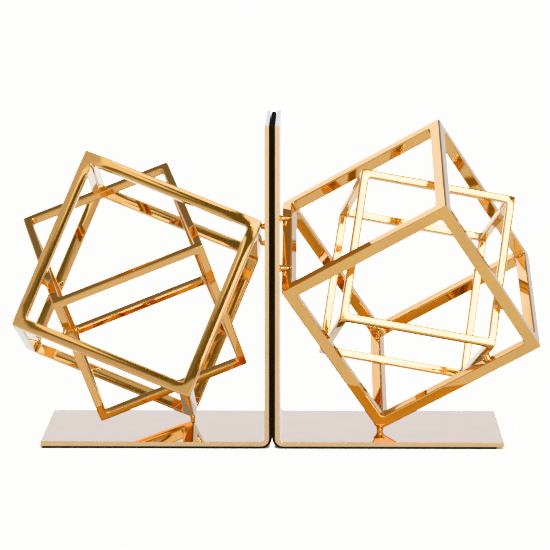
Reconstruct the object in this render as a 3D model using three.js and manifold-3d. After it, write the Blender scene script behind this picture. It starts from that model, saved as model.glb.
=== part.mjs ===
// A pair of gold-plated metal bookends, standing back to back.
// Each is a bent L plate with a black pad on its book side, and carries a sculpture of two open cubes of
// square bar, a thin one set askew inside a thick one. The thick cube stands on one corner.
// Millimetres, +Z up, +X to the right of a person facing the pair, +Y away from them.
import * as THREE from "three";
import { ConvexGeometry } from "three/addons/geometries/ConvexGeometry.js";
import { mergeVertices } from "three/addons/utils/BufferGeometryUtils.js";
import Module from "manifold-3d";

const wasm = await Module();
wasm.setup();

// Clearance that touching pieces keep.
const GAP = 0.3;

// Bent plate.
const PLATE_DEPTH = 100;
const PLATE_THICKNESS = 2.8;
const UPRIGHT_HEIGHT = 190; // above the base's top face
const BASE_LENGTH = 139; // from the seam between the two bookends
const BEND_INSIDE = 2; // radius

// Black pad, which wraps round the outside of the bend and is pressed a little thinner under the base.
const BACK_PAD = 1.5; // total room behind the upright, clearance included
const BASE_PAD = 1.2; // total room under the base, clearance included
const SEAM_HALF_GAP = 0.2; // each back pad's distance from the plane between the bookends
const PAD_INSET = 0.8; // from the plate's front, back and top edges
const BEND_STEPS = 10;

// Cubes of square bar.
const OUTER_CUBE = { edge: 113.5, bar: 7 };
const INNER_CUBE = { edge: 95, bar: 5 };

// Pins.
const UPRIGHT_PIN_RADIUS = 1.8;
const UPRIGHT_PIN_RISE = 1.9; // above the cube's edge that faces the upright
const INNER_PIN_RADIUS = 1.8;
const CYLINDER_SIDES = 24;

const BASE_TOP = BASE_PAD + PLATE_THICKNESS;
const UPRIGHT_FACE = SEAM_HALF_GAP + BACK_PAD + PLATE_THICKNESS;
const BEND_OUTSIDE = BEND_INSIDE + PLATE_THICKNESS;

// Where each cube's middle is, above the base's top face and from the plates' mid-depth, and how it is
// turned: heading about Z, then tilt about Y, then roll about X, in degrees. side is +1 on the right.
// padShort is how far the pad stops before the base's end. pins are the depths of the two upright pins,
// and uprightColumn is the side of the outer cube's top strut that those pins hold.
// basePin stands under the outer cube's lowest corner; its top is above the base's top face.
// innerJoint names the outer and the inner bar that the inner pin joins.
const BOOKENDS = [
  {
    name: "left",
    side: -1,
    padShort: 1,
    pins: [-24, 34],
    uprightColumn: 1,
    basePin: { radius: 1.3, top: 0.9 },
    outer: { centre: [-80.1, -11, 87.9], turn: [-6.1, 21.2, -108.7] },
    inner: { centre: [-84, -11.7, 85.6], turn: [6.6, -20.9, -153.1] },
    innerJoint: ["front_bottom_rail", "bottom_left_strut"],
  },
  {
    name: "right",
    side: 1,
    padShort: 4.5,
    pins: [-26, 32],
    uprightColumn: -1,
    basePin: { radius: 2.1, top: 1.9 },
    outer: { centre: [83.2, 9.4, 93.4], turn: [-12.4, -29.2, -65.5] },
    inner: { centre: [87.2, 9.6, 91.7], turn: [3.9, 10.7, -112.8] },
    innerJoint: ["front_bottom_rail", "bottom_right_strut"],
  },
];

const gold = () => new THREE.MeshStandardMaterial({ color: 0xd2a45e, metalness: 1, roughness: 0.12 });
const black = () => new THREE.MeshStandardMaterial({ color: 0x15120f, metalness: 0, roughness: 0.9 });

function meshOf(name, geometry, material) {
  const mesh = new THREE.Mesh(geometry, material);
  mesh.name = name;
  return mesh;
}

// Geometry to manifold solid and back, for cuts.
function solidOf(geometry) {
  const bare = new THREE.BufferGeometry();
  bare.setAttribute("position", geometry.getAttribute("position"));
  bare.setIndex(geometry.getIndex());
  const merged = mergeVertices(bare, 1e-4);
  const vertProperties = merged.getAttribute("position").array;
  const triVerts = new Uint32Array(merged.getIndex().array);
  return new wasm.Manifold(new wasm.Mesh({ numProp: 3, vertProperties, triVerts }));
}

function geometryOf(solid) {
  const mesh = solid.getMesh();
  const geometry = new THREE.BufferGeometry();
  geometry.setAttribute("position", new THREE.BufferAttribute(mesh.vertProperties, 3));
  geometry.setIndex(new THREE.BufferAttribute(mesh.triVerts, 1));
  geometry.computeVertexNormals();
  return geometry;
}

// An L section drawn in the XZ plane and extruded along Y, centred on the plates' mid-depth.
function extrudedAlongDepth(name, shape, depth, material) {
  const geometry = new THREE.ExtrudeGeometry(shape, { depth, bevelEnabled: false });
  const mesh = meshOf(name, geometry, material);
  mesh.rotation.x = Math.PI / 2;
  mesh.position.y = depth / 2;
  return mesh;
}

// Points of a quarter bend from the upright (at angle PI) down to the base (at angle 3/2 PI), or back.
function bendPoints(side, centre, radius, downwards) {
  const points = [];
  for (let i = 0; i <= BEND_STEPS; i += 1) {
    const part = downwards ? i / BEND_STEPS : 1 - i / BEND_STEPS;
    const angle = Math.PI + (part * Math.PI) / 2;
    const x = centre.x + radius * Math.cos(angle);
    points.push(new THREE.Vector2(side * x, centre.y + radius * Math.sin(angle)));
  }
  return points;
}

const bendCentre = new THREE.Vector2(UPRIGHT_FACE + BEND_INSIDE, BASE_TOP + BEND_INSIDE);

function bentPlate({ name, side }) {
  const top = BASE_TOP + UPRIGHT_HEIGHT;
  const at = (x, z) => new THREE.Vector2(side * x, z);
  const shape = new THREE.Shape([
    at(UPRIGHT_FACE - PLATE_THICKNESS, top),
    ...bendPoints(side, bendCentre, BEND_OUTSIDE, true),
    at(BASE_LENGTH, BASE_PAD),
    at(BASE_LENGTH, BASE_TOP),
    ...bendPoints(side, bendCentre, BEND_INSIDE, false),
    at(UPRIGHT_FACE, top),
  ]);
  return extrudedAlongDepth(`${name}_plate`, shape, PLATE_DEPTH, gold());
}

function bentPad({ name, side, padShort }) {
  const top = BASE_TOP + UPRIGHT_HEIGHT - PAD_INSET;
  const end = BASE_LENGTH - padShort;
  const front = SEAM_HALF_GAP + BACK_PAD - GAP;
  const outerRadius = BEND_OUTSIDE + BACK_PAD;
  const outerCentre = new THREE.Vector2(bendCentre.x, outerRadius);
  const at = (x, z) => new THREE.Vector2(side * x, z);
  const shape = new THREE.Shape([
    at(SEAM_HALF_GAP, top),
    ...bendPoints(side, outerCentre, outerRadius, true),
    at(end, 0),
    at(end, BASE_PAD - GAP),
    ...bendPoints(side, bendCentre, BEND_OUTSIDE + GAP, false),
    at(front, top),
  ]);
  return extrudedAlongDepth(`${name}_pad`, shape, PLATE_DEPTH - 2 * PAD_INSET, black());
}

// The twelve bars of a cube. In the cube's own frame X runs from its left to its right side, Y from its
// top to its bottom and Z from its front to its back.
const SIDE_NAMES = [["left", "right"], ["top", "bottom"], ["front", "back"]];
const BAR_KINDS = ["rail", "post", "strut"]; // along X, Y and Z

function barList() {
  const bars = [];
  for (let along = 0; along < 3; along += 1) {
    // Names read front or back first, then top or bottom, then left or right.
    const [first, second] = [2, 1, 0].filter((axis) => axis !== along);
    for (const a of [-1, 1]) {
      for (const b of [-1, 1]) {
        const word = (axis, sign) => SIDE_NAMES[axis][sign < 0 ? 0 : 1];
        const label = `${word(first, a)}_${word(second, b)}_${BAR_KINDS[along]}`;
        bars.push({ label, along, sides: { [first]: a, [second]: b } });
      }
    }
  }
  return bars;
}
const BARS = barList();

// A square bar whose ends are mitred against the two bars that it meets, so three bars share each corner.
function barGeometry(bar, { edge, bar: width }) {
  const half = edge / 2;
  const mitreGap = (GAP / 2) * Math.SQRT2; // measured along the bar
  const across = Object.keys(bar.sides).map(Number);
  const points = [];
  for (const end of [-1, 1]) {
    for (const a of [0, width]) {
      for (const b of [0, width]) {
        const point = [0, 0, 0];
        point[bar.along] = end * (half - Math.max(a, b) - mitreGap);
        point[across[0]] = bar.sides[across[0]] * (half - a);
        point[across[1]] = bar.sides[across[1]] * (half - b);
        points.push(new THREE.Vector3(...point));
      }
    }
  }
  return new ConvexGeometry(points);
}

function cubeGroup(place) {
  const group = new THREE.Group();
  const [heading, tilt, roll] = place.turn.map(THREE.MathUtils.degToRad);
  group.rotation.set(roll, tilt, heading, "ZYX");
  group.position.set(place.centre[0], place.centre[1], place.centre[2] + BASE_TOP);
  group.updateMatrixWorld(true);
  return group;
}

// A cube's axes and the points of its bars, in the part's frame.
function cubeFrame(group, size) {
  const axes = [0, 1, 2].map(() => new THREE.Vector3());
  group.matrixWorld.extractBasis(...axes);
  const place = (point) => group.localToWorld(new THREE.Vector3(...point));
  const barEnds = (bar, inset) => {
    const ends = [-1, 1].map((end) => {
      const point = [0, 0, 0];
      point[bar.along] = (end * size.edge) / 2;
      for (const [axis, sign] of Object.entries(bar.sides)) point[axis] = sign * (size.edge / 2 - inset);
      return place(point);
    });
    return ends;
  };
  return { axes, place, barEnds };
}

function addBars(group, prefix, size, cutHeight) {
  const up = new THREE.Vector3(0, 0, 1);
  const normal = up.clone().applyQuaternion(group.quaternion.clone().invert());
  for (const bar of BARS) {
    let geometry = barGeometry(bar, size);
    if (cutHeight !== undefined) {
      const solid = solidOf(geometry).trimByPlane(normal.toArray(), cutHeight - group.position.z);
      geometry = geometryOf(solid);
    }
    group.add(meshOf(`${prefix}_${bar.label}`, geometry, gold()));
  }
}

function cylinderBetween(start, end, radius) {
  const span = end.clone().sub(start);
  const geometry = new THREE.CylinderGeometry(radius, radius, span.length(), CYLINDER_SIDES);
  const turn = new THREE.Quaternion().setFromUnitVectors(new THREE.Vector3(0, 1, 0), span.normalize());
  geometry.applyQuaternion(turn);
  geometry.translate(...start.clone().add(end).multiplyScalar(0.5).toArray());
  return geometry;
}

// The height where a cube's standing corner is cut flat.
function cornerCut({ basePin }) {
  return BASE_TOP + basePin.top + GAP;
}

// The post under the cube's lowest corner, centred on the flat that the corner is cut to.
function postUnderCorner(spec, { axes, place }) {
  const lowest = place(axes.map((axis) => (-Math.sign(axis.z) * OUTER_CUBE.edge) / 2));
  const middle = new THREE.Vector3();
  for (const axis of axes) {
    const reach = (cornerCut(spec) - lowest.z) / axis.z;
    middle.addScaledVector(lowest.clone().addScaledVector(axis, reach), 1 / 3);
  }
  const foot = middle.clone().setZ(BASE_TOP + GAP);
  const head = middle.clone().setZ(BASE_TOP + spec.basePin.top);
  return meshOf(`${spec.name}_base_pin`, cylinderBetween(foot, head, spec.basePin.radius), gold());
}

// A short pin from the upright to the sloping face of the cube's strut that runs beside it.
function uprightPin({ name, side, uprightColumn }, { axes, barEnds }, depth, label) {
  const strut = BARS.find((bar) => bar.along === 2 && bar.sides[1] < 0 && bar.sides[0] === uprightColumn);
  const [edgeStart] = barEnds(strut, 0);
  const reach = (depth - edgeStart.y) / axes[2].y;
  const edge = edgeStart.clone().addScaledVector(axes[2], reach);
  const start = new THREE.Vector3(side * (UPRIGHT_FACE + GAP), depth, edge.z + UPRIGHT_PIN_RISE);
  const end = start.clone().setX(edge.x + side * 3 * UPRIGHT_PIN_RADIUS);
  const outward = axes[1].clone().negate();
  const solid = solidOf(cylinderBetween(start, end, UPRIGHT_PIN_RADIUS));
  const trimmed = solid.trimByPlane(outward.toArray(), outward.dot(edge) + GAP);
  return meshOf(`${name}_upright_pin_${label}`, geometryOf(trimmed), gold());
}

// Nearest points of two straight lines through the given pairs of points.
function nearestPoints([a, b], [c, d]) {
  const u = b.clone().sub(a).normalize();
  const v = d.clone().sub(c).normalize();
  const between = a.clone().sub(c);
  const uv = u.dot(v);
  const alongU = (uv * v.dot(between) - u.dot(between)) / (1 - uv * uv);
  const alongV = (v.dot(between) - uv * u.dot(between)) / (1 - uv * uv);
  return [a.clone().addScaledVector(u, alongU), c.clone().addScaledVector(v, alongV)];
}

// A bar as a plain box grown by the clearance, in the part's frame, to cut a pin's end with.
function grownBar(bar, size, group) {
  const lengths = [0, 1, 2].map((axis) => (axis === bar.along ? size.edge : size.bar + 2 * GAP));
  const geometry = new THREE.BoxGeometry(...lengths);
  const middle = [0, 0, 0];
  for (const [axis, sign] of Object.entries(bar.sides)) middle[axis] = (sign * (size.edge - size.bar)) / 2;
  geometry.translate(...middle);
  geometry.applyMatrix4(group.matrixWorld);
  return solidOf(geometry);
}

// The pin that holds the inner cube in the outer one, between two bars that pass close to each other.
function innerPin({ name, innerJoint }, outer, inner) {
  const [outerBar, innerBar] = innerJoint.map((label) => BARS.find((bar) => bar.label === label));
  const [start, end] = nearestPoints(
    outer.frame.barEnds(outerBar, OUTER_CUBE.bar / 2),
    inner.frame.barEnds(innerBar, INNER_CUBE.bar / 2),
  );
  const pin = solidOf(cylinderBetween(start, end, INNER_PIN_RADIUS))
    .subtract(grownBar(outerBar, OUTER_CUBE, outer.group))
    .subtract(grownBar(innerBar, INNER_CUBE, inner.group));
  return meshOf(`${name}_inner_pin`, geometryOf(pin), gold());
}

function bookend(spec) {
  const group = new THREE.Group();
  const outer = { group: cubeGroup(spec.outer) };
  const inner = { group: cubeGroup(spec.inner) };
  outer.frame = cubeFrame(outer.group, OUTER_CUBE);
  inner.frame = cubeFrame(inner.group, INNER_CUBE);
  addBars(outer.group, `${spec.name}_outer`, OUTER_CUBE, cornerCut(spec));
  addBars(inner.group, `${spec.name}_inner`, INNER_CUBE);
  group.add(bentPlate(spec), bentPad(spec), outer.group, inner.group);
  group.add(postUnderCorner(spec, outer.frame));
  group.add(uprightPin(spec, outer.frame, spec.pins[0], "front"));
  group.add(uprightPin(spec, outer.frame, spec.pins[1], "back"));
  group.add(innerPin(spec, outer, inner));
  return group;
}

// The origin is under the middle of the pair's bounding box.
const pair = new THREE.Group();
pair.add(...BOOKENDS.map(bookend));
const bounds = new THREE.Box3().setFromObject(pair, true);
const middle = bounds.getCenter(new THREE.Vector3());
pair.position.set(-middle.x, -middle.y, -bounds.min.z);

export default pair;
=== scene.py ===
# Two polished, gold-plated bookends standing back to back on a pale floor.
# Everything is in metres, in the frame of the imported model.
import math

import bmesh
import bpy
from mathutils import Matrix, Vector


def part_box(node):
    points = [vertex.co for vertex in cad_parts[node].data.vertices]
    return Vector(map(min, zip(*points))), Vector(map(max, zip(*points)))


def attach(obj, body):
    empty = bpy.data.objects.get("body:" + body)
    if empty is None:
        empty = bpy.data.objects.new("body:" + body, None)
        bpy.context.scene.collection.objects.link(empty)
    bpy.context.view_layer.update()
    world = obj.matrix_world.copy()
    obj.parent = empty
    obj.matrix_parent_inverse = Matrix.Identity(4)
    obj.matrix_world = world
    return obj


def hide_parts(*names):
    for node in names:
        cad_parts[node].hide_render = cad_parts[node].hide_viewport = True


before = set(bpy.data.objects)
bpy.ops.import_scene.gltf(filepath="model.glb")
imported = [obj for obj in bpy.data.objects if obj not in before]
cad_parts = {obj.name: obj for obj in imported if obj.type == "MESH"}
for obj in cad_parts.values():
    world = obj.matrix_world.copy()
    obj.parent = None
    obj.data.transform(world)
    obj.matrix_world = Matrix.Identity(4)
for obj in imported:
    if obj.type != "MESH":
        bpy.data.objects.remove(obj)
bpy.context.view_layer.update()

MM = 0.001
SIDES = {"left": -1, "right": 1}
BODY = {side: side + "_bookend" for side in SIDES}

# Bars: the radius of their polished edges, and of the weld fillets inside the corners.
OUTER_EDGE = 0.75 * MM
OUTER_FILLET = 1.9 * MM
INNER_EDGE = 0.9 * MM
INNER_FILLET = 1.4 * MM
FILLET_STEPS = 8

# How far the bars' sides swell, as a share of half their width. The corners lean back by the
# same slope.
CROWN = {
    ("left", "outer"): 0.038,
    ("left", "inner"): 0.02,
    ("right", "outer"): 0.012,
    ("right", "inner"): 0.055,
}
CROWN_STRIPS = 8
# All of these are in bar widths: the extra cuts along a bar, measured from the cube's side; how
# far from a corner the swelling takes to reach its full height; how soon the lean sets in.
CROWN_CUTS = (1.4, 1.9, 2.6, 3.5)
CROWN_RUN = 2.5
LEAN_RUN = 0.4

# Points closer than this are joined after cutting, which is done at a thousand times the size.
SLIVER = 0.002

# Weld beads between the cubes: the longest gap between centrelines that gets one, and its waist.
WELD_REACH = 9.8 * MM
WELD_RADIUS = 2.3 * MM
WELD_FLARE = 1.5

# Pins. Their ends sink into what they join. A neck's waist and shoulder, and how far it goes up
# into the cube's corner, are in pin radii.
PIN_FLARE = 1.35
PIN_SINK = 0.6 * MM
NECK_SINK = 0.5 * MM
NECK = {"left": (1.12, 1.3), "right": (0.9, 2.1)}
NECK_RISE = 1.2

# Plates and pads.
PLATE_THICKNESS = 2.8 * MM
PLATE_EDGE = 0.3 * MM
PAD_EDGE = 0.2 * MM
PAD_THICKNESS = 1.2 * MM
SEAM_LEFT_OPEN = 0.04 * MM

# Mesh cleaning: points this close are one, faces this parallel are one, and a plate's face that
# looks this squarely to the front or back is a cut edge.
SAME_PLACE = 0.001 * MM
SAME_PLANE = math.radians(1)
FACES_FRONT = 0.7

# Floor: its half width, how far it lies under the pads, how far its contact shadow reaches, and
# how far in front and behind its glow in reflections changes.
FLOOR_REACH = 6.0
FLOOR_DROP = 0.2 * MM
SHADOW_REACH = 3 * MM
GLOW_REACH = 2.0

# How bright the white surroundings look to the camera itself.
WHITE = 4.5

# Camera: its place from the seam, from the plates' front edges and above the base's top face;
# its turn down and left, in degrees; its lens, in millimetres.
CAMERA_PLACE = (0.0236, -1.784, 0.3694)
CAMERA_DOWN = 8.55
CAMERA_LEFT = 0.70
CAMERA_LENS = 198.9

# Surface detail, as noise scales per metre. The scratches run along Z.
GOLD_CLOUDS = 38
GOLD_SCRATCHES = 900
SCRATCH_STRETCH = (1, 1, 0.06)
GOLD_WAVES = 22
FOAM_CLOUDS = 60
FOAM_PORES = 1600
PORE_DEPTH = 0.15 * MM

GOLD_TINT = (0.965, 0.565, 0.20)
EDGE_TINT = (0.97, 0.66, 0.38)
FOAM_DARK = (0.016, 0.013, 0.014)
FOAM_LIGHT = (0.032, 0.026, 0.028)


# ---------------------------------------------------------------- shaders


class Nodes:
    """Short calls for building one node tree."""

    def __init__(self, tree):
        self.tree = tree
        tree.nodes.clear()

    def add(self, kind, **settings):
        node = self.tree.nodes.new(kind)
        for key, value in settings.items():
            setattr(node, key, value)
        return node

    def link(self, source, target):
        self.tree.links.new(source, target)


def ramp(nodes, factor, stops):
    node = nodes.add("ShaderNodeValToRGB")
    elements = node.color_ramp.elements
    while len(elements) < len(stops):
        elements.new(0.5)
    for element, (place, colour) in zip(elements, stops):
        element.position = place
        element.color = (*colour, 1)
    nodes.link(factor, node.inputs["Fac"])
    return node.outputs["Color"]


def noise(nodes, coordinate, scale, detail, stretch=(1, 1, 1)):
    mapping = nodes.add("ShaderNodeMapping")
    mapping.inputs["Scale"].default_value = stretch
    nodes.link(coordinate, mapping.inputs["Vector"])
    node = nodes.add("ShaderNodeTexNoise")
    node.inputs["Scale"].default_value = scale
    node.inputs["Detail"].default_value = detail
    nodes.link(mapping.outputs["Vector"], node.inputs["Vector"])
    return node.outputs["Fac"]


def gold_material(name, tint, roughness, wave_height):
    """Polished gold plating under clear lacquer, with hairline scratches and faint waves."""
    material = bpy.data.materials.new(name)
    material.use_nodes = True
    nodes = Nodes(material.node_tree)
    out = nodes.add("ShaderNodeOutputMaterial")
    shader = nodes.add("ShaderNodeBsdfPrincipled")
    nodes.link(shader.outputs["BSDF"], out.inputs["Surface"])
    place = nodes.add("ShaderNodeTexCoord").outputs["Object"]

    cloud = noise(nodes, place, GOLD_CLOUDS, 4)
    dark, light = [tuple(channel * share for channel in tint) for share in (0.95, 1.03)]
    nodes.link(ramp(nodes, cloud, [(0.3, dark), (0.7, light)]), shader.inputs["Base Color"])

    scratches = noise(nodes, place, GOLD_SCRATCHES, 2, SCRATCH_STRETCH)
    rough = ramp(nodes, scratches, [(0.35, (roughness * 0.7,) * 3), (0.75, (roughness * 1.6,) * 3)])
    nodes.link(rough, shader.inputs["Roughness"])

    waves = noise(nodes, place, GOLD_WAVES, 2)
    bump = nodes.add("ShaderNodeBump")
    bump.inputs["Distance"].default_value = wave_height
    bump.inputs["Strength"].default_value = 1.0
    nodes.link(waves, bump.inputs["Height"])
    nodes.link(bump.outputs["Normal"], shader.inputs["Normal"])

    shader.inputs["Metallic"].default_value = 1.0
    shader.inputs["Specular Tint"].default_value = (0.8, 0.9, 1.0, 1)
    shader.inputs["Coat Weight"].default_value = 1.0
    shader.inputs["Coat Roughness"].default_value = 0.02
    shader.inputs["Coat IOR"].default_value = 1.5
    return material


def pad_material():
    """Black foam rubber with fine pores."""
    material = bpy.data.materials.new("foam_rubber")
    material.use_nodes = True
    nodes = Nodes(material.node_tree)
    out = nodes.add("ShaderNodeOutputMaterial")
    shader = nodes.add("ShaderNodeBsdfPrincipled")
    nodes.link(shader.outputs["BSDF"], out.inputs["Surface"])
    place = nodes.add("ShaderNodeTexCoord").outputs["Object"]

    cloud = noise(nodes, place, FOAM_CLOUDS, 5)
    colours = [(0.3, FOAM_DARK), (0.75, FOAM_LIGHT)]
    nodes.link(ramp(nodes, cloud, colours), shader.inputs["Base Color"])

    pores = nodes.add("ShaderNodeTexVoronoi")
    pores.inputs["Scale"].default_value = FOAM_PORES
    nodes.link(place, pores.inputs["Vector"])
    bump = nodes.add("ShaderNodeBump")
    bump.inputs["Distance"].default_value = PORE_DEPTH
    bump.inputs["Strength"].default_value = 0.6
    nodes.link(pores.outputs["Distance"], bump.inputs["Height"])
    nodes.link(bump.outputs["Normal"], shader.inputs["Normal"])

    shader.inputs["Roughness"].default_value = 0.88
    shader.inputs["Specular IOR Level"].default_value = 0.3
    return material


bar_gold = gold_material("polished_gold", GOLD_TINT, 0.045, 0.004 * MM)
plate_gold = gold_material("mirror_gold", GOLD_TINT, 0.03, 0.002 * MM)
sheared_gold = gold_material("sheared_gold", EDGE_TINT, 0.16, 0.004 * MM)
foam = pad_material()


# ---------------------------------------------------------------- mesh helpers


def new_piece(name, mesh, material, body, nodes):
    piece = bpy.data.objects.new(name, mesh)
    bpy.context.scene.collection.objects.link(piece)
    mesh.materials.clear()
    mesh.materials.append(material)
    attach(piece, body)
    if nodes:
        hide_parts(*nodes)
    return piece


def evaluated_mesh(piece):
    graph = bpy.context.evaluated_depsgraph_get()
    return bpy.data.meshes.new_from_object(piece.evaluated_get(graph))


def scratch_object(mesh):
    thing = bpy.data.objects.new("scratch", mesh)
    bpy.context.scene.collection.objects.link(thing)
    return thing


def bevelled(mesh, width, angle=40, segments=3):
    """The mesh with its sharp edges rounded."""
    thing = scratch_object(mesh)
    bevel = thing.modifiers.new("edges", "BEVEL")
    bevel.width = width
    bevel.segments = segments
    bevel.limit_method = "ANGLE"
    bevel.angle_limit = math.radians(angle)
    bevel.miter_outer = "MITER_ARC"
    result = evaluated_mesh(thing)
    bpy.data.objects.remove(thing)
    return result


def weighted(mesh, name, weight=100):
    """The mesh with smooth shading; the higher the weight, the flatter its large faces stay."""
    for polygon in mesh.polygons:
        polygon.use_smooth = True
    thing = scratch_object(mesh)
    normals = thing.modifiers.new("normals", "WEIGHTED_NORMAL")
    normals.mode = "FACE_AREA"
    normals.weight = weight
    result = evaluated_mesh(thing)
    bpy.data.objects.remove(thing)
    result.name = name
    return result


def rounded(mesh, name, width):
    return weighted(bevelled(mesh, width), name)


def prism_along(axis, half, corner, length):
    """A square prism through the origin along X, Y or Z (0, 1, 2), with round corners."""
    steps = FILLET_STEPS
    outline = []
    for quarter in range(4):
        turn = quarter * math.pi / 2
        centre = half - corner
        for step in range(steps + 1):
            angle = turn + step / steps * math.pi / 2
            x = math.copysign(centre, math.cos(turn + math.pi / 4)) + corner * math.cos(angle)
            y = math.copysign(centre, math.sin(turn + math.pi / 4)) + corner * math.sin(angle)
            outline.append((x, y))
    shape = bmesh.new()
    rings = []
    for end in (-length / 2, length / 2):
        ring = []
        for x, y in outline:
            point = [0, 0, 0]
            point[axis] = end
            point[(axis + 1) % 3] = x
            point[(axis + 2) % 3] = y
            ring.append(shape.verts.new(point))
        rings.append(ring)
    count = len(outline)
    for i in range(count):
        j = (i + 1) % count
        shape.faces.new((rings[0][i], rings[0][j], rings[1][j], rings[1][i]))
    shape.faces.new(list(reversed(rings[0])))
    shape.faces.new(rings[1])
    bmesh.ops.recalc_face_normals(shape, faces=shape.faces)
    mesh = bpy.data.meshes.new("prism")
    shape.to_mesh(mesh)
    shape.free()
    return mesh


def cube_mesh(edge):
    shape = bmesh.new()
    bmesh.ops.create_cube(shape, size=edge)
    mesh = bpy.data.meshes.new("cube")
    shape.to_mesh(mesh)
    shape.free()
    return mesh


def sliced(shape, places):
    """Cuts the mesh across every axis at each place, on both sides of the origin."""
    for axis in range(3):
        for sign in (-1, 1):
            for place in places:
                point, normal = Vector(), Vector()
                point[axis] = sign * place
                normal[axis] = 1
                geometry = [*shape.verts, *shape.edges, *shape.faces]
                bmesh.ops.bisect_plane(shape, geom=geometry, plane_co=point, plane_no=normal)


def smooth_step(low, high, value):
    share = min(max((value - low) / (high - low), 0), 1)
    return share * share * (3 - 2 * share)


def crowned(mesh, half, bar, crown):
    """Swells the flat sides of the bars a little and eases the corners back, as polishing does."""
    shape = bmesh.new()
    shape.from_mesh(mesh)
    across = [half - bar * i / CROWN_STRIPS for i in range(1, CROWN_STRIPS)]
    along = [half - bar * i for i in CROWN_CUTS]
    sliced(shape, across + along)
    bmesh.ops.remove_doubles(shape, verts=shape.verts, dist=SLIVER)
    bmesh.ops.dissolve_degenerate(shape, edges=shape.edges, dist=SLIVER)
    inside = half - bar
    just_inside = inside - 0.01 * bar
    middle = half - bar / 2

    def place_in_bar(value):
        return (value - middle) / (bar / 2)

    for vertex in shape.verts:
        size = [abs(c) for c in vertex.co]
        far_along = min(size)
        strength = crown * smooth_step(inside, inside - CROWN_RUN * bar, far_along)
        for axis in range(3):
            here = size[axis]
            others = [size[(axis + 1) % 3], size[(axis + 2) % 3]]
            if here < just_inside or max(others) < just_inside:
                continue
            drop = strength * bar / 2 * place_in_bar(here) * place_in_bar(max(others)) ** 2
            reach = max(sum(others) - 2 * inside, 0)
            lean = crown * reach**2 / (reach + LEAN_RUN * bar) / math.sqrt(2)
            drop += lean * max(place_in_bar(here), 0)
            vertex.co[axis] -= math.copysign(drop, vertex.co[axis])
    shape.to_mesh(mesh)
    shape.free()


def open_cube(name, edge, bar, fillet, edge_radius, crown):
    """A cube of square bar about the origin: a block with a round-cornered hole along each axis.

    It is cut at a thousand times its size, because the cutting tolerances suit metres better. The
    cutters stick out on both sides.
    """
    big = 1 / MM
    block = scratch_object(cube_mesh(edge * big))
    cutters = []
    for axis in range(3):
        hole = prism_along(axis, (edge / 2 - bar) * big, fillet * big, edge * big * 1.2)
        cutters.append(scratch_object(hole))
        cut = block.modifiers.new("cut", "BOOLEAN")
        cut.operation = "DIFFERENCE"
        cut.solver = "EXACT"
        cut.object = cutters[-1]
    mesh = evaluated_mesh(block)
    for thing in [block, *cutters]:
        bpy.data.objects.remove(thing)
    mesh = bevelled(mesh, edge_radius * big)
    crowned(mesh, edge / 2 * big, bar * big, crown)
    mesh = weighted(mesh, name, 50)
    mesh.transform(Matrix.Scale(MM, 4))
    return mesh


# ---------------------------------------------------------------- the cubes


def points_of(nodes):
    return [vertex.co.copy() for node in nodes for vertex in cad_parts[node].data.vertices]


def long_axis(node):
    """The direction of a bar: that of its longest edge."""
    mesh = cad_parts[node].data
    ends = [[mesh.vertices[i].co for i in edge.vertices] for edge in mesh.edges]
    start, end = max(ends, key=lambda pair: (pair[1] - pair[0]).length)
    return (end - start).normalized()


def middle_of(nodes):
    points = points_of(nodes)
    return sum(points, Vector()) / len(points)


class Cube:
    """One cube's pose, measured on its packed bars.

    Its axes run left to right, top to bottom and front to back.
    """

    KINDS = ("rail", "post", "strut")
    SPANS = (("left", "right"), ("top", "bottom"), ("front", "back"))

    def __init__(self, prefix):
        self.nodes = sorted(
            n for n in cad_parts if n.startswith(prefix + "_") and n.endswith(self.KINDS)
        )
        self.axes = []
        for kind, (low, high) in zip(self.KINDS, self.SPANS):
            axis = long_axis(next(n for n in self.nodes if n.endswith(kind)))
            others = [n for n in self.nodes if not n.endswith(kind)]
            way = middle_of([n for n in others if high in n.split("_")[2:]])
            way -= middle_of([n for n in others if low in n.split("_")[2:]])
            self.axes.append(axis if axis.dot(way) > 0 else -axis)
        points = points_of(self.nodes)
        spans = [[p.dot(axis) for p in points] for axis in self.axes]
        lows, highs = [min(s) for s in spans], [max(s) for s in spans]
        self.edge = highs[0] - lows[0]
        extents = zip(self.axes, lows, highs)
        self.centre = sum((axis * (lo + hi) / 2 for axis, lo, hi in extents), Vector())
        one_rail = next(n for n in self.nodes if "rail" in n)
        across = [p.dot(self.axes[1]) for p in points_of([one_rail])]
        self.bar = max(across) - min(across)

    def matrix(self):
        turn = Matrix(self.axes).transposed().to_4x4()
        return Matrix.Translation(self.centre) @ turn

    def bar_line(self, along, signs):
        """Both ends of a bar's centreline; signs are its sides on the two other axes, in order."""
        others = [axis for axis in range(3) if axis != along]
        inset = (self.edge - self.bar) / 2
        shift = sum((self.axes[a] * s * inset for a, s in zip(others, signs)), Vector())
        middle = self.centre + shift
        half = self.axes[along] * (self.edge - self.bar) / 2
        return middle - half, middle + half


cubes = {}
for side in SIDES:
    for layer, edge_radius, fillet in (
        ("outer", OUTER_EDGE, OUTER_FILLET),
        ("inner", INNER_EDGE, INNER_FILLET),
    ):
        cube = Cube(f"{side}_{layer}")
        cubes[side, layer] = cube
        name = f"{side}_{layer}_cube"
        mesh = open_cube(name, cube.edge, cube.bar, fillet, edge_radius, CROWN[side, layer])
        mesh.transform(cube.matrix())
        new_piece(name, mesh, bar_gold, BODY[side], cube.nodes)


# ---------------------------------------------------------------- welds and pins


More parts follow.
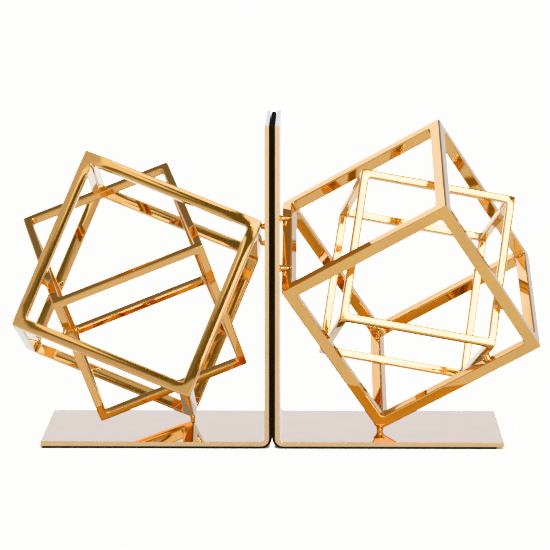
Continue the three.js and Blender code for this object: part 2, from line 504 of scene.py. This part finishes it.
def turned(name, start, end, profile, sides=28):
    """A round piece from start to end. profile lists (place along it from 0 to 1, radius)."""
    span = end - start
    direction = span.normalized()
    across = direction.orthogonal().normalized()
    up = direction.cross(across)
    shape = bmesh.new()
    rings = []
    for place, radius in profile:
        centre = start + span * place
        ring = []
        for i in range(sides):
            angle = 2 * math.pi * i / sides
            outward = across * math.cos(angle) + up * math.sin(angle)
            ring.append(shape.verts.new(centre + outward * radius))
        rings.append(ring)
    for lower, upper in zip(rings, rings[1:]):
        for i in range(sides):
            j = (i + 1) % sides
            shape.faces.new((lower[i], lower[j], upper[j], upper[i]))
    shape.faces.new(list(reversed(rings[0])))
    shape.faces.new(rings[-1])
    bmesh.ops.recalc_face_normals(shape, faces=shape.faces)
    mesh = bpy.data.meshes.new(name)
    shape.to_mesh(mesh)
    shape.free()
    for polygon in mesh.polygons:
        polygon.use_smooth = len(polygon.vertices) == 4
    return mesh


def waisted(waist, flare, steps=8):
    """A profile that is waist wide in the middle and flares towards both ends like a weld."""
    places = [i / (2 * steps) for i in range(2 * steps + 1)]
    return [(p, waist + (flare - waist) * abs(2 * p - 1) ** 3) for p in places]


def necked(neck, shoulder, steps=12):
    """A profile that is narrow where it stands and opens upwards like a trumpet."""
    places = [i / steps for i in range(steps + 1)]
    return [(p, neck + (shoulder - neck) * p**2.4) for p in places]


def nearest(line_a, line_b):
    """Nearest points of two bars' centrelines."""
    a, b = line_a
    c, d = line_b
    u, v = (b - a).normalized(), (d - c).normalized()
    between = a - c
    dot = u.dot(v)
    along_u = (dot * v.dot(between) - u.dot(between)) / (1 - dot * dot)
    along_v = (v.dot(between) - dot * u.dot(between)) / (1 - dot * dot)
    if not (0 < along_u < (b - a).length and 0 < along_v < (d - c).length):
        return None
    return a + u * along_u, c + v * along_v


def all_lines(cube):
    return [cube.bar_line(axis, (s, t)) for axis in range(3) for s in (-1, 1) for t in (-1, 1)]


def weld_inner(side):
    """Weld beads wherever a bar of the inner cube passes close to one of the outer cube."""
    outer, inner = cubes[side, "outer"], cubes[side, "inner"]
    pin = (sum(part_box(f"{side}_inner_pin"), Vector())) / 2
    found = []
    for line_a in all_lines(outer):
        for line_b in all_lines(inner):
            pair = nearest(line_a, line_b)
            if pair and (pair[1] - pair[0]).length < WELD_REACH:
                found.append(pair)
    found.sort(key=lambda pair: ((pair[0] + pair[1]) / 2 - pin).length)
    for number, (start, end) in enumerate(found):
        name = f"{side}_inner_weld_{number + 1}"
        mesh = turned(name, start, end, waisted(WELD_RADIUS, WELD_RADIUS * WELD_FLARE))
        nodes = [f"{side}_inner_pin"] if number == 0 else []
        new_piece(name, mesh, bar_gold, BODY[side], nodes)


for side in SIDES:
    weld_inner(side)

    for place in ("front", "back"):
        node = f"{side}_upright_pin_{place}"
        low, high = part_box(node)
        middle = (low + high) / 2
        start = Vector((low.x - PIN_SINK, middle.y, middle.z))
        end = Vector((high.x + PIN_SINK, middle.y, middle.z))
        radius = (high.z - low.z) / 2
        mesh = turned(node + "_welded", start, end, waisted(radius, radius * PIN_FLARE))
        new_piece(node + "_welded", mesh, bar_gold, BODY[side], [node])

    node = f"{side}_base_pin"
    low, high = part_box(node)
    middle = (low + high) / 2
    radius = (high.x - low.x) / 2
    start = Vector((middle.x, middle.y, low.z - NECK_SINK))
    end = Vector((middle.x, middle.y, high.z + NECK_RISE * radius))
    waist, shoulder = NECK[side]
    mesh = turned(node + "_welded", start, end, necked(waist * radius, shoulder * radius))
    new_piece(node + "_welded", mesh, bar_gold, BODY[side], [node])


# ---------------------------------------------------------------- plates and pads


def cleaned_copy(node):
    """A CAD node's mesh with its doubled vertices joined and its flat faces whole again."""
    shape = bmesh.new()
    shape.from_mesh(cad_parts[node].data)
    bmesh.ops.remove_doubles(shape, verts=shape.verts, dist=SAME_PLACE)
    bmesh.ops.dissolve_limit(
        shape, angle_limit=SAME_PLANE, verts=shape.verts, edges=shape.edges, delimit=set()
    )
    mesh = bpy.data.meshes.new(node)
    shape.to_mesh(mesh)
    shape.free()
    return mesh


def mark_sheared_edges(plate):
    """Gives the plate's front and back edges, where the sheet was cut, their paler satin finish."""
    plate.data.materials.append(sheared_gold)
    for polygon in plate.data.polygons:
        if abs(polygon.normal.y) > FACES_FRONT:
            polygon.material_index = 1


seam_x = (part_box("left_pad")[1].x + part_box("right_pad")[0].x) / 2


def pressed_out(mesh, side):
    """Swells the back of a pad until it all but touches the other bookend's pad."""
    gap = min(abs(vertex.co.x - seam_x) for vertex in mesh.vertices)
    for vertex in mesh.vertices:
        depth = abs(vertex.co.x - seam_x) - gap
        share = max(1 - depth / PAD_THICKNESS, 0)
        vertex.co.x -= SIDES[side] * share * (gap - SEAM_LEFT_OPEN / 2)


for side in SIDES:
    for part, width, material, slot in (
        ("plate", PLATE_EDGE, plate_gold, "gold"),
        ("pad", PAD_EDGE, foam, "pad"),
    ):
        node = f"{side}_{part}"
        mesh = cleaned_copy(node)
        if part == "pad":
            pressed_out(mesh, side)
        mesh = rounded(mesh, node + "_finished", width)
        piece = new_piece(node + "_finished", mesh, material, BODY[side], [node])
        if part == "plate":
            mark_sheared_edges(piece)


# ---------------------------------------------------------------- floor, light, camera

plate_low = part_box("left_plate")[0]
front_y = plate_low.y
base_top = plate_low.z + PLATE_THICKNESS


def studio_floor():
    """A pale floor: white to the camera with a thin contact shadow, and dimmer in reflections."""
    mesh = bpy.data.meshes.new("floor")
    reach = FLOOR_REACH
    corners = [(-reach, -reach, 0), (reach, -reach, 0), (reach, reach, 0), (-reach, reach, 0)]
    mesh.from_pydata(corners, [], [(0, 1, 2, 3)])
    floor = bpy.data.objects.new("floor", mesh)
    floor.location.z = -FLOOR_DROP
    bpy.context.scene.collection.objects.link(floor)
    material = bpy.data.materials.new("pale_floor")
    material.use_nodes = True
    nodes = Nodes(material.node_tree)
    out = nodes.add("ShaderNodeOutputMaterial")
    seen = nodes.add("ShaderNodeLightPath").outputs["Is Camera Ray"]
    diffuse = nodes.add("ShaderNodeBsdfDiffuse")
    nodes.link(ramp(nodes, seen, [(0.0, (0.3,) * 3), (1.0, (0.9,) * 3)]), diffuse.inputs["Color"])
    glow = nodes.add("ShaderNodeEmission")
    parts = nodes.add("ShaderNodeSeparateXYZ")
    nodes.link(nodes.add("ShaderNodeNewGeometry").outputs["Position"], parts.inputs["Vector"])
    depth = nodes.add("ShaderNodeMapRange")
    depth.inputs["From Min"].default_value = -GLOW_REACH
    depth.inputs["From Max"].default_value = GLOW_REACH
    nodes.link(parts.outputs["Y"], depth.inputs["Value"])
    # The glow in reflections, from front to back, and the camera's white with its shadow.
    shades = [(0.1, (0.183,) * 3), (0.42, (0.12,) * 3), (0.5, (0.12,) * 3), (0.56, (0.189,) * 3)]
    contact = nodes.add("ShaderNodeAmbientOcclusion", samples=8)
    contact.inputs["Distance"].default_value = SHADOW_REACH
    shadow = [(0.45, (0.02,) * 3), (0.7, (0.16,) * 3), (0.97, (1.0,) * 3)]
    mix = nodes.add("ShaderNodeMix", data_type="RGBA")
    a, b = [socket for socket in mix.inputs if socket.name in "AB" and socket.type == "RGBA"]
    nodes.link(seen, mix.inputs["Factor"])
    nodes.link(ramp(nodes, depth.outputs["Result"], shades), a)
    nodes.link(ramp(nodes, contact.outputs["AO"], shadow), b)
    nodes.link(next(o for o in mix.outputs if o.type == "RGBA"), glow.inputs["Color"])
    glow.inputs["Strength"].default_value = WHITE
    both = nodes.add("ShaderNodeAddShader")
    nodes.link(diffuse.outputs["BSDF"], both.inputs[0])
    nodes.link(glow.outputs["Emission"], both.inputs[1])
    nodes.link(both.outputs["Shader"], out.inputs["Surface"])
    mesh.materials.append(material)


class Room:
    """The light from each direction. Azimuth 0 is the viewer's side, and 90 the right."""

    def __init__(self, nodes):
        self.nodes = nodes
        direction = nodes.add("ShaderNodeTexCoord").outputs["Generated"]
        parts = nodes.add("ShaderNodeSeparateXYZ")
        nodes.link(direction, parts.inputs["Vector"])
        x, y, z = (parts.outputs[c] for c in "XYZ")
        self.elevation = self.degrees(self.math("ARCSINE", z))
        self.from_front = self.degrees(self.math("ARCTAN2", x, self.math("MULTIPLY", y, -1)))
        self.from_back = self.degrees(self.math("ARCTAN2", x, y))

    def math(self, operation, *values):
        node = self.nodes.add("ShaderNodeMath", operation=operation)
        for i, value in enumerate(values):
            if isinstance(value, (int, float)):
                node.inputs[i].default_value = value
            else:
                self.nodes.link(value, node.inputs[i])
        return node.outputs[0]

    def degrees(self, value):
        return self.math("MULTIPLY", value, 180 / math.pi)

    def step(self, value, place, soft):
        node = self.nodes.add("ShaderNodeMapRange", interpolation_type="SMOOTHSTEP")
        self.nodes.link(value, node.inputs["Value"])
        node.inputs["From Min"].default_value = place - soft
        node.inputs["From Max"].default_value = place + soft
        return node.outputs["Result"]

    def band(self, value, low, high, soft):
        return self.math("SUBTRACT", self.step(value, low, soft), self.step(value, high, soft))

    def paint(self, under, colour, azimuths, elevations, soft):
        """Lays a soft-edged rectangle of light over what is there.

        Azimuths that are marked "back" count from the far side.
        """
        behind = azimuths[0] == "back"
        around = self.from_back if behind else self.from_front
        across = self.band(around, *azimuths[-2:], soft)
        up = self.band(self.elevation, *elevations, soft)
        mix = self.nodes.add("ShaderNodeMix", data_type="RGBA")
        self.nodes.link(self.math("MULTIPLY", across, up), mix.inputs["Factor"])
        a, b = [socket for socket in mix.inputs if socket.name in "AB" and socket.type == "RGBA"]
        if isinstance(under, tuple):
            a.default_value = (*under, 1)
        else:
            self.nodes.link(under, a)
        b.default_value = (*colour, 1)
        return next(o for o in mix.outputs if o.type == "RGBA")


# Light from the room: colour, azimuths, elevations and softness, in degrees. Later rows lie over
# earlier ones.
WALLS = (0.62, 0.60, 0.58)
ROOM = [
    # Dim overhead, less so above the viewer.
    ((0.24, 0.23, 0.22), (-400, 400), (47, 200), 4),
    ((0.66, 0.65, 0.63), (-45, 45), (50, 80), 5),
    # Behind the bookends: grey walls with darker gaps, bright near the floor.
    ((0.40, 0.39, 0.38), ("back", -27, 90), (14, 60), 4),
    ((0.16, 0.15, 0.14), ("back", -22, -3), (26, 60), 2),
    ((0.36, 0.31, 0.28), ("back", 25, 38), (22, 45), 3),
    ((0.90, 0.93, 1.02), ("back", -75, 75), (-30, 15), 3),
    ((0.78, 0.80, 0.87), ("back", 14, 40), (-30, 14), 4),
    # Behind on the left: a window and its frame.
    ((1.15, 1.12, 1.08), ("back", -52, -27.4), (24, 44), 0.6),
    ((2.2, 2.2, 2.2), ("back", -31, -27.4), (24, 44), 0.6),
    ((2.0, 2.0, 2.0), ("back", -30, -23), (24, 34.1), 0.4),
    ((0.32, 0.28, 0.30), ("back", -29.2, -22), (34.5, 40), 0.5),
    # On the viewer's side: a soft light overhead, dark gaps, narrow panels and the main light.
    ((1.10, 1.08, 1.0), (-32, 7), (37, 49), 2),
    ((0.15, 0.14, 0.12), (10.5, 34), (22, 48), 1.5),
    ((0.22, 0.20, 0.17), (-6, 5), (24.0, 27.0), 0.9),
    ((1.4, 1.36, 1.1), (-2.9, -1.1), (26.6, 38), 0.4),
    ((0.15, 0.135, 0.11), (-1.1, 5), (22.5, 32), 0.5),
    ((2.6, 2.6, 2.4), (-1.1, 5), (31.0, 42), 1.0),
    ((3.4, 3.4, 3.1), (4.0, 10.5), (14, 29), 0.8),
    ((3.4, 3.4, 3.1), (2.8, 10.5), (28.5, 42), 0.8),
    ((18.0, 23.5, 14.5), (13.5, 28.5), (27.5, 42.5), 1.0),
]


def studio_world():
    """White to the camera; in reflections, a room with bright panels in front and behind."""
    world = bpy.data.worlds.new("studio")
    bpy.context.scene.world = world
    world.use_nodes = True
    nodes = Nodes(world.node_tree)
    out = nodes.add("ShaderNodeOutputWorld")
    seen = nodes.add("ShaderNodeLightPath").outputs["Is Camera Ray"]
    room = Room(nodes)
    light = WALLS
    for colour, azimuths, elevations, soft in ROOM:
        light = room.paint(light, colour, azimuths, elevations, soft)
    lit = nodes.add("ShaderNodeBackground")
    nodes.link(light, lit.inputs["Color"])
    white = nodes.add("ShaderNodeBackground")
    white.inputs["Strength"].default_value = WHITE
    mix = nodes.add("ShaderNodeMixShader")
    nodes.link(seen, mix.inputs["Fac"])
    nodes.link(lit.outputs["Background"], mix.inputs[1])
    nodes.link(white.outputs["Background"], mix.inputs[2])
    nodes.link(mix.outputs["Shader"], out.inputs["Surface"])


def camera():
    data = bpy.data.cameras.new("camera")
    thing = bpy.data.objects.new("camera", data)
    bpy.context.scene.collection.objects.link(thing)
    data.sensor_width = 36
    data.lens = CAMERA_LENS
    data.clip_start = 0.05
    data.clip_end = 50
    x, y, z = CAMERA_PLACE
    thing.location = (seam_x + x, front_y + y, base_top + z)
    thing.rotation_euler = (math.radians(90 - CAMERA_DOWN), 0, math.radians(CAMERA_LEFT))
    bpy.context.scene.camera = thing


studio_floor()
studio_world()
camera()

scene = bpy.context.scene
scene.view_settings.view_transform = "Khronos PBR Neutral"
